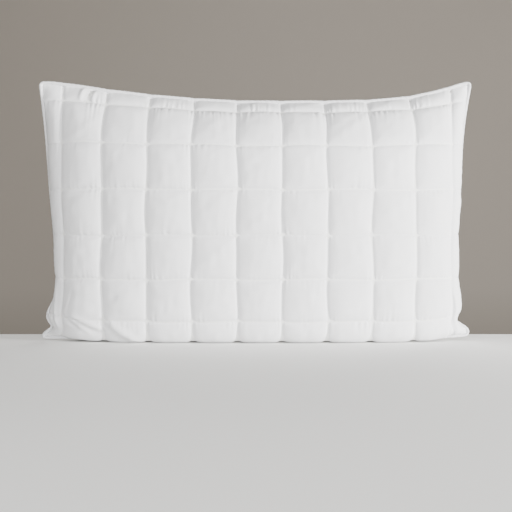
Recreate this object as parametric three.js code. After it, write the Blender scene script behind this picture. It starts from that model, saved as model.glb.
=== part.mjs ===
// A quilted bed pillow standing on its long edge.
//
// The pillow is a bag of two quilted panels, front and back, filled with loose fibre. Each panel is a
// sandwich of a woven cover, a sheet of wadding and a thin lining, sewn through in a grid of rows and
// columns. A piped edge closes the bag: a cord in a fabric sleeve whose flange lies between the panels.
//
// Millimetres, +Z up. The front faces -Y. The origin is at floor level, in the middle of the pillow.
import * as THREE from "three";
import { ParametricGeometry } from "three/addons/geometries/ParametricGeometry.js";
import { mergeGeometries, mergeVertices } from "three/addons/utils/BufferGeometryUtils.js";

// The panels as cut and quilted, laid flat.
const FLAT_WIDTH = 750;
const FLAT_HEIGHT = 500;
const CELL = 75; // one square of the quilting
const BOTTOM_MARGIN = 18.75; // from the bottom seam to the lowest row of quilting
const COLUMNS = 20; // half squares across the width
const STITCHED_ROWS = 7;

// The pillow as it stands, measured over the fabric.
const SEAM_HEIGHT = 412; // top seam above the floor, at mid width
const CORNER_RISE = 36; // how much higher the top corners stand
const WAIST = 349; // half width where the side seams pull in most
const WAIST_HEIGHT = 110;
const TOP_SPREAD = 26; // how much further out the top corners reach than the waist
const FOOT_SPREAD = 21; // the same for the bottom corners
const HALF_LOFT = 71; // from the seam plane to the fill's face, at the fullest place

// Sheet thicknesses, with the air between them.
const GAP = 0.35;
const LINING = 0.5;
const WADDING = 3.6;
const COVER = 0.8;
const SEWN_WADDING = 0.6; // the wadding where the edge seam squeezes it

// The edge.
const SEAM_GAP = 1.2; // from the seam plane to each panel's rim
const CORD_RADIUS = 1.6;
const SLEEVE_WALL = 0.5;
const SLEEVE_BORE = CORD_RADIUS + GAP;
const SLEEVE_RADIUS = SLEEVE_BORE + SLEEVE_WALL;
const PIPING_OFFSET = 5.2; // from the fill's rim out to the middle of the piping
const FLANGE_HALF = 0.25;
const FLANGE_LENGTH = 1.9;
const EDGE = PIPING_OFFSET + SLEEVE_RADIUS; // from the fill's rim out to the pillow's outline
const CORNER_CUT = 6; // how far before a corner the piping starts to turn
const SEAM_CORNER_CUT = 1.5; // the same for the seam's thread
const END_GAP = 2; // between the two ends of the piping, in the middle of the bottom seam

// The sewing.
const THREAD_RADIUS = 0.35;
const THREAD_LIFT = 0.3 + THREAD_RADIUS;
const SEAM_THREAD_RADIUS = 0.25;
const SEAM_THREAD_OFFSET = 1.6; // from the fill's rim outwards
const SEAM_THREAD_DEPTH = 0.85; // to either side of the seam plane
const CLOSING_CELLS = 3; // half squares to each side of the middle that are closed last, after filling
const COLUMN_LIFT = THREAD_LIFT + 2 * THREAD_RADIUS + 0.3; // the columns pass over the rows

// The care label, in grid columns and rows of the back panel.
const LABEL_COLUMNS = [19.25, 19.92];
const LABEL_ROWS = [4.3, 5.6];
const LABEL_LIFT = 1.2;
const LABEL_THICKNESS = 0.4;
const LABEL_CELLS = 2;

const PANEL = 3 * GAP + LINING + WADDING + COVER; // the fill's face to the outside, at full thickness
const RECESS = 1.8; // the lowest row of quilting draws the panel up off the floor by this
const REST_START = 27; // from the bottom seam, along the panel, to where it lies flat on the floor
const REST_NEAR = 26; // the flat strip's two edges, from the seam plane
const REST_FAR = 50;
const REST_HALF_SPAN = 8; // grid columns either side of the middle that lie flat
const FOOT_DEPTH = 18; // the lowest row of quilting, from the seam plane
const FOOT_HEIGHT = EDGE + 0.5; // the bottom seam's height, which keeps the piping off the floor
const FULLNESS = 2.4; // how square the pillow is across: 2 is an ellipse
const SIDE_BLEND = 10; // how close to a side seam the panel starts to follow it: more is closer
const CROWN = 0.08; // how far the puffed middle spreads the columns
const SHARP = 0.75 * Math.PI; // a corner of the rim narrower than this is turned in steps

// ---------------------------------------------------------------- the fill's face, as a grid of points

/** The rows of the grid: how far up the panel each one is, and whether it is a row of quilting. */
function gridRows() {
  const rows = [{ up: 0, stitched: false }];
  for (let n = 0; n < STITCHED_ROWS; n++) {
    const up = BOTTOM_MARGIN + n * CELL;
    rows.push({ up, stitched: true });
    if (n === 0) rows.push({ up: REST_START, stitched: false });
    if (n < STITCHED_ROWS - 1) rows.push({ up: up + CELL / 2, stitched: false });
  }
  rows.push({ up: FLAT_HEIGHT, stitched: false });
  return rows;
}

const rows = gridRows();
const ROWS = rows.length - 1;
const REST_ROWS = [2, 3]; // the grid rows between which each panel lies flat on the floor

/** The section of the fill's front half at mid width: x is the distance from the seam plane, y the height. */
const section = new THREE.SplineCurve([
  new THREE.Vector2(0, FOOT_HEIGHT),
  new THREE.Vector2(FOOT_DEPTH, PANEL + RECESS),
  new THREE.Vector2(REST_NEAR, PANEL),
  new THREE.Vector2(REST_FAR, PANEL),
  new THREE.Vector2(HALF_LOFT - 3, 44),
  new THREE.Vector2(HALF_LOFT, 110),
  new THREE.Vector2(HALF_LOFT, 230),
  new THREE.Vector2(HALF_LOFT - 5, 330),
  new THREE.Vector2(30, 394),
  new THREE.Vector2(0, SEAM_HEIGHT - EDGE + 4),
]);

/** How full the fill is at a share across, from 0 in the middle to 1 at a side seam. */
function fullness(across) {
  return Math.sqrt(1 - Math.abs(across) ** FULLNESS);
}

/** The half width of the fill at a height, where the two panels meet. */
function halfWidth(height) {
  const over = (height - WAIST_HEIGHT) / (SEAM_HEIGHT + CORNER_RISE - WAIST_HEIGHT);
  const under = (WAIST_HEIGHT - height) / WAIST_HEIGHT;
  const spread = height > WAIST_HEIGHT ? TOP_SPREAD * over * over : FOOT_SPREAD * under * under;
  return WAIST + spread - EDGE;
}

/** A point of the fill's front face, for a grid column and row. */
function fillPoint(column, row) {
  const across = (2 * column) / COLUMNS - 1;
  const up = rows[row].up / FLAT_HEIGHT;
  const rowPoint = section.getPointAt(up);
  if (row === 1) rowPoint.set(FOOT_DEPTH, PANEL + RECESS);
  if (row === REST_ROWS[0]) rowPoint.set(REST_NEAR, PANEL);
  if (row === REST_ROWS[1]) rowPoint.set(REST_FAR, PANEL);
  const atSide = FOOT_HEIGHT + (SEAM_HEIGHT + CORNER_RISE - 2 * EDGE) * up;
  const inside = rowPoint.y + CORNER_RISE * up * Math.abs(across) ** 3;
  const height = THREE.MathUtils.lerp(inside, atSide, across ** SIDE_BLEND);
  const crown = CROWN * (1 - across ** 6) * Math.min(1, rowPoint.x / HALF_LOFT);
  return new THREE.Vector3(
    halfWidth(atSide) * across * (1 + crown),
    -SEAM_GAP - rowPoint.x * fullness(across),
    isResting(column, row) ? PANEL : height,
  );
}

/** True where the panel lies flat on the floor. */
function isResting(column, row) {
  return REST_ROWS.includes(row) && Math.abs(column - COLUMNS / 2) <= REST_HALF_SPAN;
}

/** Every point of the fill's front face, and which way is out there, by column and then by row. */
function frontGrid() {
  const points = [];
  for (let column = 0; column <= COLUMNS; column++) {
    points.push([]);
    for (let row = 0; row <= ROWS; row++) points[column].push(fillPoint(column, row));
  }
  const at = (column, row) => points[column]?.[row];
  const normals = points.map((line, column) => line.map((point, row) => {
    const out = new THREE.Vector3();
    for (const [dc, dr] of [[1, 1], [-1, 1], [-1, -1], [1, -1]]) {
      const beside = at(column + dc, row);
      const above = at(column, row + dr);
      if (!beside || !above) continue;
      const face = beside.clone().sub(point).cross(above.clone().sub(point)).multiplyScalar(dc * dr);
      out.add(face.normalize());
    }
    if (isResting(column, row)) return new THREE.Vector3(0, 0, -1);
    if (onRim(column, row)) out.y = -Math.hypot(out.x, out.z);
    return out.normalize();
  }));
  return { points, normals };
}

const grid = frontGrid();

/** A point off the fill's face. side is -1 for the front panel and 1 for the back one. */
function offFace(side, column, row, offset) {
  const low = Math.min(Math.floor(row), ROWS - 1);
  const left = Math.min(Math.floor(column), COLUMNS - 1);
  const mix = (share, a, b) => a.clone().lerp(b, share);
  const place = (c, r) => grid.points[c][r].clone().addScaledVector(grid.normals[c][r], offset(c, r));
  const point = mix(column - left,
    mix(row - low, place(left, low), place(left, low + 1)),
    mix(row - low, place(left + 1, low), place(left + 1, low + 1)));
  point.y *= -side;
  return point;
}

// ---------------------------------------------------------------- solids

/** True on the grid's rim, where the edge seam squeezes the sheets together. */
function onRim(column, row) {
  return column === 0 || column === COLUMNS || row === 0 || row === ROWS;
}

/** How far the wadding's outer face is from the fill, at a grid point. */
function waddingTop(column, row) {
  return 2 * GAP + LINING + (onRim(column, row) ? SEWN_WADDING : WADDING);
}

/** How far the cover's outer face is from the fill, at a grid point. */
function coverTop(column, row) {
  return waddingTop(column, row) + GAP + COVER;
}

/** A surface of the grid, seen from its outer side, or from its inner side. */
function face(pointAt, columns, rowCount, fromInside) {
  const surface = (u, v, target) => {
    const [across, up] = fromInside ? [v, u] : [u, v];
    target.copy(pointAt(Math.round(across * columns), Math.round(up * rowCount)));
  };
  const [slices, stacks] = fromInside ? [rowCount, columns] : [columns, rowCount];
  return new ParametricGeometry(surface, slices, stacks);
}

/** The strip that joins two faces along one side of the grid. */
function rim(inner, outer, cells, gridPoint) {
  const surface = (u, v, target) => {
    const [column, row] = gridPoint(Math.round(u * cells));
    target.copy(v < 0.5 ? inner(column, row) : outer(column, row));
  };
  return new ParametricGeometry(surface, cells, 1);
}

/** One closed solid between an inner and an outer face, each a grid of points. */
function slab(inner, outer, columns = COLUMNS, rowCount = ROWS) {
  const parts = [
    face(outer, columns, rowCount, false),
    face(inner, columns, rowCount, true),
    rim(inner, outer, columns, (n) => [n, 0]),
    rim(inner, outer, rowCount, (n) => [columns, n]),
    rim(inner, outer, columns, (n) => [columns - n, rowCount]),
    rim(inner, outer, rowCount, (n) => [0, rowCount - n]),
  ];
  return closed(mergeGeometries(parts));
}

/** The geometry with its shared corners merged, so that it is one closed surface. */
function closed(geometry) {
  geometry.deleteAttribute("normal");
  geometry.deleteAttribute("uv");
  const merged = mergeVertices(geometry, 1e-3);
  merged.computeVertexNormals();
  return merged;
}

/** The same solid with its faces turned round, for one that was built as a mirror image. */
function reversed(geometry) {
  const index = geometry.index.array;
  for (let i = 0; i < index.length; i += 3) [index[i + 1], index[i + 2]] = [index[i + 2], index[i + 1]];
  geometry.computeVertexNormals();
  return geometry;
}

/** A sheet of one panel, between two distances from the fill. */
function sheet(side, from, to) {
  const solid = slab((c, r) => offFace(side, c, r, from), (c, r) => offFace(side, c, r, to));
  return side < 0 ? solid : reversed(solid);
}

/** The loose fibre: everything between the two linings. */
function filling() {
  return slab((c, r) => offFace(1, c, r, () => -GAP / 2), (c, r) => offFace(-1, c, r, () => -GAP / 2));
}

/** A path through a list of points, one step to each, so that an extrusion turns exactly at them. */
class ThroughPoints extends THREE.Curve {
  constructor(points) {
    super();
    this.points = points;
  }

  get steps() {
    return this.points.length - 1;
  }

  getPoint(share) {
    const along = share * this.steps;
    const from = Math.min(Math.floor(along + 1e-9), this.steps - 1);
    return this.points[from].clone().lerp(this.points[from + 1], along - from);
  }

  getPointAt(share) {
    return this.getPoint(share);
  }

  getTangentAt(share) {
    const at = Math.round(share * this.steps);
    const before = this.points[Math.max(at - 1, 0)];
    const after = this.points[Math.min(at + 1, this.steps)];
    return after.clone().sub(before).normalize();
  }
}

/** A round section with a few sides. */
function roundShape(radius) {
  return new THREE.Shape().absarc(0, 0, radius, 0, 2 * Math.PI, false);
}

/** A section carried along a path. */
function along(shape, points, curveSegments) {
  const path = new ThroughPoints(points);
  const solid = new THREE.ExtrudeGeometry(shape, { steps: path.steps, curveSegments, extrudePath: path });
  return closed(solid);
}

// ---------------------------------------------------------------- the edge

/** The grid's rim, from the middle of the bottom seam round past the +X side and back again. */
function rimCells() {
  const cells = [];
  for (let c = COLUMNS / 2; c < COLUMNS; c++) cells.push([c, 0]);
  for (let r = 0; r < ROWS; r++) cells.push([COLUMNS, r]);
  for (let c = COLUMNS; c > 0; c--) cells.push([c, ROWS]);
  for (let r = ROWS; r > 0; r--) cells.push([0, r]);
  for (let c = 0; c <= COLUMNS / 2; c++) cells.push([c, 0]);
  return cells;
}

/** The path with its sharp corners turned in three short steps, from a distance before each. */
function eased(path, cut) {
  return path.flatMap((corner, i) => {
    const [before, after] = [path[i - 1], path[i + 1]];
    if (!before || !after) return [corner];
    const [back, on] = [before.clone().sub(corner).normalize(), after.clone().sub(corner).normalize()];
    if (back.angleTo(on) > SHARP) return [corner];
    const from = corner.clone().addScaledVector(back, cut);
    const to = corner.clone().addScaledVector(on, cut);
    return new THREE.QuadraticBezierCurve3(from, corner, to).getPoints(3);
  });
}

/** The rim moved outwards in the seam plane, keeping its corners mitred. */
function rimPath(outwards, cut) {
  const loop = rimCells().map(([c, r]) => new THREE.Vector3(grid.points[c][r].x, 0, grid.points[c][r].z));
  const last = loop.length - 1;
  const path = loop.map((point, i) => {
    const before = loop[i === 0 ? last - 1 : i - 1];
    const after = loop[i === last ? 1 : i + 1];
    const [m, n] = [point.clone().sub(before), after.clone().sub(point)]
      .map((edge) => new THREE.Vector3(edge.z, 0, -edge.x).normalize());
    const mitre = m.clone().add(n).multiplyScalar(1 / (1 + m.dot(n)));
    return point.clone().addScaledVector(mitre, outwards);
  });
  path[0].x += END_GAP / 2;
  path[last].x -= END_GAP / 2;
  return eased(path, cut);
}

/** The piping's sleeve in section: a tube round the cord, with the flange that the seam catches. */
function sleeveShape() {
  const meet = Math.PI - Math.asin(FLANGE_HALF / SLEEVE_RADIUS);
  const shape = new THREE.Shape();
  shape.moveTo(-SLEEVE_RADIUS - FLANGE_LENGTH, -FLANGE_HALF);
  shape.absarc(0, 0, SLEEVE_RADIUS, -meet, meet, false);
  shape.lineTo(-SLEEVE_RADIUS - FLANGE_LENGTH, FLANGE_HALF);
  shape.closePath();
  shape.holes.push(new THREE.Path().absarc(0, 0, SLEEVE_BORE, 0, 2 * Math.PI, true));
  return shape;
}

// ---------------------------------------------------------------- the sewing

/** A run of seam thread along the piping's flange: all the way round, or only some cells of its middle. */
function seamThread(depth, cells) {
  const whole = rimPath(SEAM_THREAD_OFFSET, SEAM_CORNER_CUT);
  const start = whole.slice(0, cells + 1);
  const end = whole.slice(-cells - 1);
  const path = cells ? [...end, ...start].filter((point, i) => i !== cells) : whole;
  return along(roundShape(SEAM_THREAD_RADIUS), path.map((point) => point.clone().setY(depth)), 2);
}

/** A column of quilting: up a panel, from where it leaves the floor to the top seam. */
function columnThread(side, column) {
  const places = [REST_ROWS[1] + 0.2];
  for (let r = REST_ROWS[1] + 1; r < ROWS; r++) places.push(r);
  places.push(ROWS - 0.15);
  const lift = (c, r) => coverTop(c, r) + COLUMN_LIFT;
  return along(roundShape(THREAD_RADIUS), places.map((r) => offFace(side, column, r, lift)), 2);
}

/** A row of quilting: across a panel, from seam to seam. */
function rowThread(side, row) {
  const columns = [0.15];
  for (let c = 1; c < COLUMNS; c++) columns.push(c);
  columns.push(COLUMNS - 0.15);
  const lift = (c, r) => coverTop(c, r) + THREAD_LIFT;
  return along(roundShape(THREAD_RADIUS), columns.map((c) => offFace(side, c, row, lift)), 2);
}

// ---------------------------------------------------------------- the care label

/** A small blank label, caught in the side seam and lying against the back panel. */
function careLabel() {
  const at = (lift) => (c, r) => offFace(1,
    THREE.MathUtils.lerp(LABEL_COLUMNS[0], LABEL_COLUMNS[1], c / LABEL_CELLS),
    THREE.MathUtils.lerp(LABEL_ROWS[0], LABEL_ROWS[1], r / LABEL_CELLS),
    (column, row) => coverTop(column, row) + lift);
  return reversed(slab(at(LABEL_LIFT), at(LABEL_LIFT + LABEL_THICKNESS), LABEL_CELLS, LABEL_CELLS));
}

// ---------------------------------------------------------------- assembly

const cloth = new THREE.MeshStandardMaterial({ name: "cover_cotton", color: 0xeceded, roughness: 0.85 });
const batting = new THREE.MeshStandardMaterial({ name: "wadding", color: 0xf4f4f2, roughness: 1 });
const scrim = new THREE.MeshStandardMaterial({ name: "lining", color: 0xe8e8e6, roughness: 0.95 });
const fibre = new THREE.MeshStandardMaterial({ name: "fibre", color: 0xf7f7f5, roughness: 1 });
const binding = new THREE.MeshStandardMaterial({ name: "piping_fabric", color: 0xf0f0f0, roughness: 0.8 });
const twist = new THREE.MeshStandardMaterial({ name: "piping_cord", color: 0xe6e3da, roughness: 0.9 });
const thread = new THREE.MeshStandardMaterial({ name: "thread", color: 0xf5f5f5, roughness: 0.6 });
const tape = new THREE.MeshStandardMaterial({ name: "label_tape", color: 0xf8f8f8, roughness: 0.5 });

const pillow = new THREE.Group();

/** Adds one piece to the pillow. */
function add(name, geometry, material) {
  const mesh = new THREE.Mesh(geometry, material);
  mesh.name = name;
  pillow.add(mesh);
  return mesh;
}

add("fibre_filling", filling(), fibre);

for (const [name, side] of [["front", -1], ["back", 1]]) {
  add(`${name}_lining`, sheet(side, () => GAP, () => GAP + LINING), scrim);
  add(`${name}_wadding`, sheet(side, () => 2 * GAP + LINING, waddingTop), batting);
  add(`${name}_cover`, sheet(side, (c, r) => waddingTop(c, r) + GAP, coverTop), cloth);
  rows.filter((row) => row.stitched).forEach((row, n) => {
    add(`${name}_stitch_row_${n + 1}`, rowThread(side, rows.indexOf(row)), thread);
  });
  for (let column = 1; column < COLUMNS; column += 2) {
    const number = String((column + 1) / 2).padStart(2, "0");
    add(`${name}_stitch_column_${number}`, columnThread(side, column), thread);
  }
}

add("piping_cord", along(roundShape(CORD_RADIUS), rimPath(PIPING_OFFSET, CORNER_CUT), 3), twist);
add("piping_sleeve", along(sleeveShape(), rimPath(PIPING_OFFSET, CORNER_CUT), 3), binding);

add("edge_seam_thread", seamThread(-SEAM_THREAD_DEPTH, 0), thread);
add("closing_seam_thread", seamThread(SEAM_THREAD_DEPTH, CLOSING_CELLS), thread);
add("care_label", careLabel(), tape);

export default pillow;
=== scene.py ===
"""A quilted bed pillow with a piped edge, standing on its long side on a pale floor.

Metres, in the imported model's frame: +X along the long side, -Y to the front, +Z up. Each panel is worked
out on the flat cloth, by how far a point is across from the middle and how far up from the bottom seam, and
the pattern of the quilting, the weave and the stitches follow the cloth from there.
"""

import logging
import math
from dataclasses import dataclass, field
from enum import Enum
from typing import Callable, Sequence

import bmesh
import bpy
import numpy as np
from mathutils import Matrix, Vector


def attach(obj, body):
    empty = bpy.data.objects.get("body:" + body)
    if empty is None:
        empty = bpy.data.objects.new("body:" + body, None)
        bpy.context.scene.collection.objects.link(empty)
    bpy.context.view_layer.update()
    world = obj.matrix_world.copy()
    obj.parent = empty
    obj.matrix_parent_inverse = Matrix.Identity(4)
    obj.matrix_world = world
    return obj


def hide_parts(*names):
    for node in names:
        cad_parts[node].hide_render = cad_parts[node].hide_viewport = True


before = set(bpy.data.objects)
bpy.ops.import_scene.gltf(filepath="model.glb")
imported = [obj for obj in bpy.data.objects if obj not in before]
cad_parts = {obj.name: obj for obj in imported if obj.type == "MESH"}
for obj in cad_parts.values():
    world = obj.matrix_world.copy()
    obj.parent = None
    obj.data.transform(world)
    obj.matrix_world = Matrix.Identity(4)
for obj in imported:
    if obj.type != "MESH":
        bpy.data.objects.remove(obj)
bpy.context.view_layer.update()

Array = np.ndarray
Pair = tuple[float, float]
Triple = tuple[float, float, float]
Piece = bpy.types.Object

logging.basicConfig(level=logging.INFO, format="%(asctime)s %(message)s")
log = logging.getLogger("pillow")

BODY = "root"


class Side(Enum):
    """The two panels of the pillow. The value is the way each one faces along Y."""

    FRONT = -1
    BACK = 1

    @property
    def word(self) -> str:
        """The panel's name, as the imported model's nodes have it."""
        return self.name.lower()


# ---------------------------------------------------------------------------------------------- curves


def spline(at: Array, points: Sequence[tuple[float, ...]]) -> Array:
    """A smooth curve through points, each of which starts with its place along the curve.

    Args:
        at: the places wanted.
        points: (place, value, value, ...) in rising order of place.

    Returns:
        The values at each place, in a new last axis.
    """
    table = np.array(points, float)
    knots, values = table[:, 0], table[:, 1:]
    slopes = np.gradient(values, knots, axis=0)
    at = np.clip(at, knots[0], knots[-1])
    cell = np.clip(np.searchsorted(knots, at, side="right") - 1, 0, len(knots) - 2)
    span = (knots[cell + 1] - knots[cell])[..., None]
    u = (at - knots[cell])[..., None] / span
    start, end = values[cell], values[cell + 1]
    leaving, arriving = slopes[cell] * span, slopes[cell + 1] * span
    return (
        (2 * u**3 - 3 * u**2 + 1) * start
        + (u**3 - 2 * u**2 + u) * leaving
        + (3 * u**2 - 2 * u**3) * end
        + (u**3 - u**2) * arriving
    )


def wander(at: Array, seed: int, pitch: float) -> Array:
    """A smooth random wave between about -1 and 1, which is the same on each run.

    Args:
        at: the places wanted, in metres.
        seed: which wave.
        pitch: the distance between its random values.

    Returns:
        The wave's height at each place.
    """
    random = np.random.default_rng(seed)
    values = random.uniform(-1, 1, 512)
    place = at / pitch + 128.37
    low = np.floor(place).astype(int)
    u = place - low
    u = u * u * (3 - 2 * u)
    return values[low % 512] * (1 - u) + values[(low + 1) % 512] * u


def ramp(value: Array, length: float) -> Array:
    """A straight rise from 0, where the value is 0 or less, to 1, where it reaches the length."""
    return np.clip(value / length, 0, 1)


def near(distance: Array, reach: float | Array) -> Array:
    """How much a line counts at a distance from it: 1 at the line, and a third of that one reach away."""
    return np.exp(-distance / reach)


def ripple(at: Array, pitch: float, phase: float | Array = 0.0) -> Array:
    """A sine wave with the pitch given, from -1 to 1."""
    return np.sin(2 * math.pi * at / pitch + phase)


# ---------------------------------------------------------------------------------------------- the cloth


@dataclass(frozen=True)
class Pattern:
    """The quilting of one panel, laid flat."""

    width: float = 0.75
    height: float = 0.5
    square: float = 0.075
    side_margin: float = 0.0375
    foot_margin: float = 0.01875

    @property
    def columns(self) -> Array:
        """Where the columns of quilting are, across from the middle."""
        return np.arange(-self.width / 2 + self.side_margin, self.width / 2, self.square)

    @property
    def rows(self) -> Array:
        """Where the rows of quilting are, up from the bottom seam."""
        return np.arange(self.foot_margin, self.height, self.square)

    def from_column(self, across: Array) -> Array:
        """How far each place is from its nearest column."""
        return np.abs(across[..., None] - self.columns).min(axis=-1)

    def from_row(self, up: Array) -> Array:
        """How far each place is from its nearest row."""
        return np.abs(up[..., None] - self.rows).min(axis=-1)

    def between(self, at: Array, lines: Array, end: float, start: float) -> Array:
        """How far across its own strip each place is, from -1 at one line of sewing to 1 at the next.

        Args:
            at: the places.
            lines: the lines of quilting.
            end: the seam past the last line.
            start: the seam before the first line.

        Returns:
            The share at each place.
        """
        edges = np.concatenate([[start], lines, [end]])
        cell = np.clip(np.searchsorted(edges, at, side="right") - 1, 0, len(edges) - 2)
        return 2 * (at - edges[cell]) / (edges[cell + 1] - edges[cell]) - 1


@dataclass(frozen=True)
class Fold:
    """A loose fold in a panel, on the flat cloth."""

    start: Pair
    end: Pair
    width: float
    lift: float
    hollow: float = 0.5  # how deep the hollow beside it is, as a share of its height
    hollow_place: float = -1.6  # how many widths aside the hollow is

    def height(self, across: Array, up: Array) -> Array:
        """How far the fold lifts the cloth at each place: a ridge with a hollow along one side.

        Args:
            across: across the flat cloth from the middle.
            up: up the flat cloth from the bottom seam.

        Returns:
            The lift at each place, in metres.
        """
        a, b = np.array(self.start), np.array(self.end)
        length = np.linalg.norm(b - a)
        along = (b - a) / length
        x, z = across - a[0], up - a[1]
        run = (x * along[0] + z * along[1]) / length
        off = (x * -along[1] + z * along[0]) / self.width
        taper = np.clip(1 - (2 * run - 1) ** 2, 0, None) ** 0.5 * (run > 0) * (run < 1)
        return self.lift * taper * (np.exp(-off**2) - self.hollow * np.exp(-((off - self.hollow_place) ** 2)))


@dataclass(frozen=True)
class Plumpness:
    """The shape that the filled pillow takes, standing on its long side."""

    # At the middle: up the cloth from the bottom seam, out from the seam plane, and height.
    section: tuple[Triple, ...] = (
        (0.0, 0.0, 0.007), (0.01875, 0.018, 0.0028), (0.045, 0.0395, 0.0004),
        (0.0675, 0.0580, 0.0122), (0.09375, 0.0700, 0.0372), (0.16875, 0.0775, 0.1062),
        (0.24375, 0.0780, 0.1780), (0.31875, 0.0770, 0.2520), (0.39375, 0.0700, 0.3245),
        (0.46875, 0.0270, 0.3860), (0.5, 0.0, 0.4060),
    )
    # At a side seam: up the cloth, and height.
    side_rise: tuple[Pair, ...] = (
        (0.0, 0.0075), (0.03, 0.018), (0.08, 0.042), (0.14, 0.086), (0.25, 0.189),
        (0.4, 0.338), (0.5, 0.4385),
    )
    # The outline of each side: height, and out from the middle.
    left: tuple[Pair, ...] = (
        (0.004, 0.3640), (0.0115, 0.3600), (0.0215, 0.3475), (0.040, 0.3545), (0.074, 0.3415),
        (0.15, 0.3405), (0.24, 0.3480), (0.375, 0.3590), (0.441, 0.3670),
    )
    right: tuple[Pair, ...] = (
        (0.008, 0.3590), (0.0175, 0.3600), (0.0335, 0.3390), (0.055, 0.3465), (0.094, 0.3425),
        (0.17, 0.3400), (0.24, 0.3450), (0.375, 0.3535), (0.438, 0.3640),
    )
    take_up: float = 0.985  # how much of its flat width the quilted cloth keeps
    shift: float = 0.006  # how far the quilting sits towards +X
    crown: float = 2.4  # how square the pillow is across
    corner_rise: Pair = (0.035, 0.029)  # left and right
    corner_reach: Pair = (1.7, 4.0)  # how near each corner the top seam starts to rise
    corner_start: float = 0.22  # how far up the cloth the corners start to lift it
    scallop: float = 0.0012  # how far each column pulls the top seam down
    scallop_reach: float = 0.006
    scallop_start: float = 0.46
    right_ear: float = 0.004  # how far the right bottom corner is off the floor, past the left one
    ear_height: float = 0.08
    shift_power: int = 4  # how suddenly the shift ends towards the side seams
    side_power: int = 8  # how suddenly the cloth takes the side seam's height
    outline_power: int = 12  # how suddenly it takes the outline
    # How the quilting wanders from straight: how far sideways or up, over what length, and its slant.
    across_waves: tuple[Triple, ...] = ((0.0013, 0.21, 3.1), (0.00078, 0.12, -4.7))
    up_wave: Triple = (0.00104, 0.19, 4.6)
    calm: float = 0.05  # how far up and out from the seams the wandering is small

    def place(self, across: Array, up: Array) -> Array:
        """Where the front panel's cloth lies, without its puffs.

        Args:
            across: across the flat cloth from the middle.
            up: up the flat cloth from the bottom seam.

        Returns:
            Points, in a new last axis.
        """
        share = across / (PATTERN.width / 2)
        reach = np.abs(share)
        depth, height = np.moveaxis(spline(up, self.section), -1, 0)
        lift = ramp(up - self.corner_start, PATTERN.height - self.corner_start) ** 2
        rise = np.where(share < 0, *self.corner_rise) * reach ** np.where(share < 0, *self.corner_reach)
        scallop = self.scallop * near(PATTERN.from_column(across), self.scallop_reach)
        scallop = scallop * ramp(up - self.scallop_start, PATTERN.height - self.scallop_start)
        middle = height + rise * lift - scallop
        side = spline(up, self.side_rise)[..., 0]
        side = side + self.right_ear * (share > 0) * (1 - ramp(up, self.ear_height))
        height = middle + (side - middle) * reach**self.side_power
        left, right = (spline(height, outline)[..., 0] for outline in (self.left, self.right))
        edge = np.where(share < 0, left, right)
        x = self.take_up * across + self.shift * (1 - reach**self.shift_power)
        x += np.sign(share) * (edge - self.take_up * PATTERN.width / 2) * reach**self.outline_power
        full = np.sqrt(np.clip(1 - reach**self.crown, 0, None))
        inside = (1 - reach**self.side_power) * ramp(depth, self.calm) * ramp(height, self.calm)
        for size, pitch, slant in self.across_waves:
            x += size * inside * ripple(up, pitch, 2 * math.pi * slant * share)
        size, pitch, slant = self.up_wave
        height += size * inside * ripple(across, pitch, 2 * math.pi * slant * up)
        return np.stack([x, -depth * full, height], axis=-1)


PATTERN = Pattern()
PLUMP = Plumpness()


def outwards(grid: Array) -> Array:
    """The unit normal at each point of a grid of points, (up, across, 3), facing as the front panel does."""
    normal = np.cross(np.gradient(grid, axis=1), np.gradient(grid, axis=0))
    return normal / np.maximum(np.linalg.norm(normal, axis=-1, keepdims=True), 1e-12)


def cubic_weights(at: Array, count: int, length: float) -> Array:
    """The matrix that reads an evenly spaced row of values smoothly at other places.

    Args:
        at: the places wanted, from 0 to length.
        count: how many values the row has.
        length: how far apart its first and last values are.

    Returns:
        The matrix, (places, count).
    """
    place = np.clip(at / length * (count - 1), 0, count - 1)
    low = np.minimum(place.astype(int), count - 2)
    u = place - low
    weights = (
        -0.5 * u + u**2 - 0.5 * u**3,
        1 - 2.5 * u**2 + 1.5 * u**3,
        0.5 * u + 2 * u**2 - 1.5 * u**3,
        -0.5 * u**2 + 0.5 * u**3,
    )
    matrix = np.zeros((len(at), count))
    for step, weight in zip((-1, 0, 1, 2), weights):
        np.add.at(matrix, (np.arange(len(at)), np.clip(low + step, 0, count - 1)), weight)
    return matrix


# ---------------------------------------------------------------------------------------------- meshes


def piece_from(name: str, work: bmesh.types.BMesh, points: Array, flat: Array | None = None) -> Piece:
    """Turns a working mesh into a smooth piece, and frees the working mesh.

    Args:
        name: the piece's name.
        work: the faces.
        points: where each vertex goes, in metres, with x, y and z in the last axis.
        flat: where each vertex is on the flat cloth, for the UV map.

    Returns:
        The piece, linked to the scene.
    """
    mesh = bpy.data.meshes.new(name)
    work.to_mesh(mesh)
    work.free()
    mesh.vertices.foreach_set("co", points.astype(np.float32).ravel())
    if flat is not None:
        corner = np.empty(len(mesh.loops), np.int32)
        mesh.loops.foreach_get("vertex_index", corner)
        layer = mesh.uv_layers.new(name="cloth")
        layer.data.foreach_set("uv", flat.reshape(-1, 2)[corner].astype(np.float32).ravel())
    mesh.update()
    mesh.shade_smooth()
    piece = bpy.data.objects.new(name, mesh)
    bpy.context.scene.collection.objects.link(piece)
    return piece


def grid_mesh(name: str, points: Array, flat: Array | None = None) -> Piece:
    """A sheet with one vertex at each point of a grid.

    Args:
        name: the piece's name.
        points: (up, across, 3), in metres.
        flat: (up, across, 2), where each point is on the flat cloth, for its UV map.

    Returns:
        The piece.
    """
    rows, columns = points.shape[:2]
    work = bmesh.new()
    bmesh.ops.create_grid(work, x_segments=columns - 1, y_segments=rows - 1, size=0.5)
    return piece_from(name, work, points, flat)


def flip(piece: Piece) -> None:
    """Turns a piece's faces round."""
    piece.data.flip_normals()


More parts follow.
